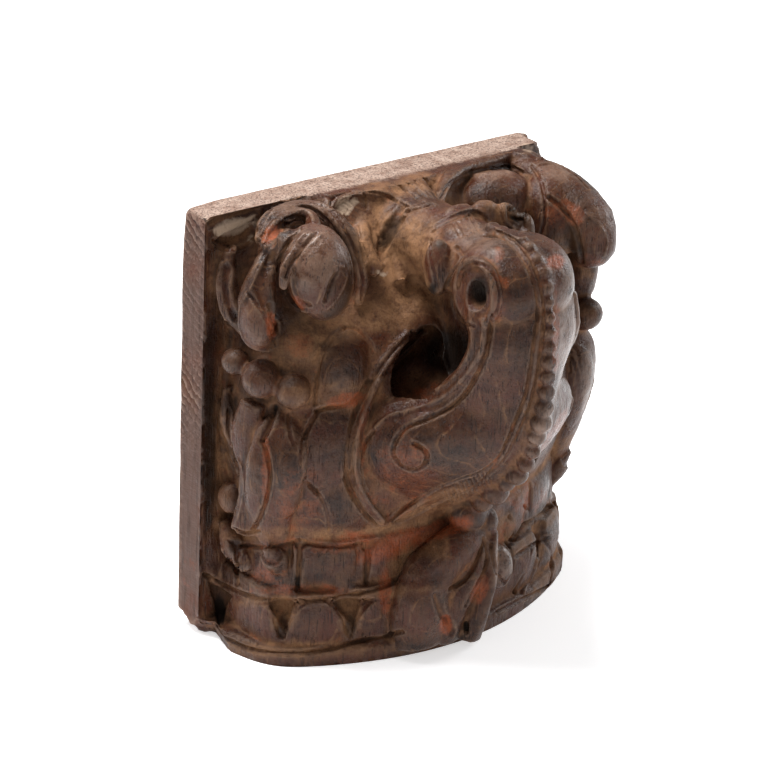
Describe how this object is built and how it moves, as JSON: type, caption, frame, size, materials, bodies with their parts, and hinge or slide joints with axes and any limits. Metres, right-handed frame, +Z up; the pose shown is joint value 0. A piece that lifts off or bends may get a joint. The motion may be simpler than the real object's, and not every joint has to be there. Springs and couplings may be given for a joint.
{
  "type": "wooden corbel bracket",
  "caption": "Carved hardwood corbel: flat-backed block with a bow-fronted, leaf-carved bell and a projecting keeled scroll.",
  "frame": {"origin": "centre of the box's footprint on the underside, which the bracket stands on", "axes": "+X across to the right as the carving is faced, the carved front faces -Y, +Y into the wall behind the flat back, +Z up"},
  "size_m": [0.217, 0.1421, 0.22],
  "materials": {
    "aged_hardwood": "dark waxed patina, worn"
  },
  "bodies": {
    "root": {"carved_corbel": "aged_hardwood"}
  },
  "joints": []
}
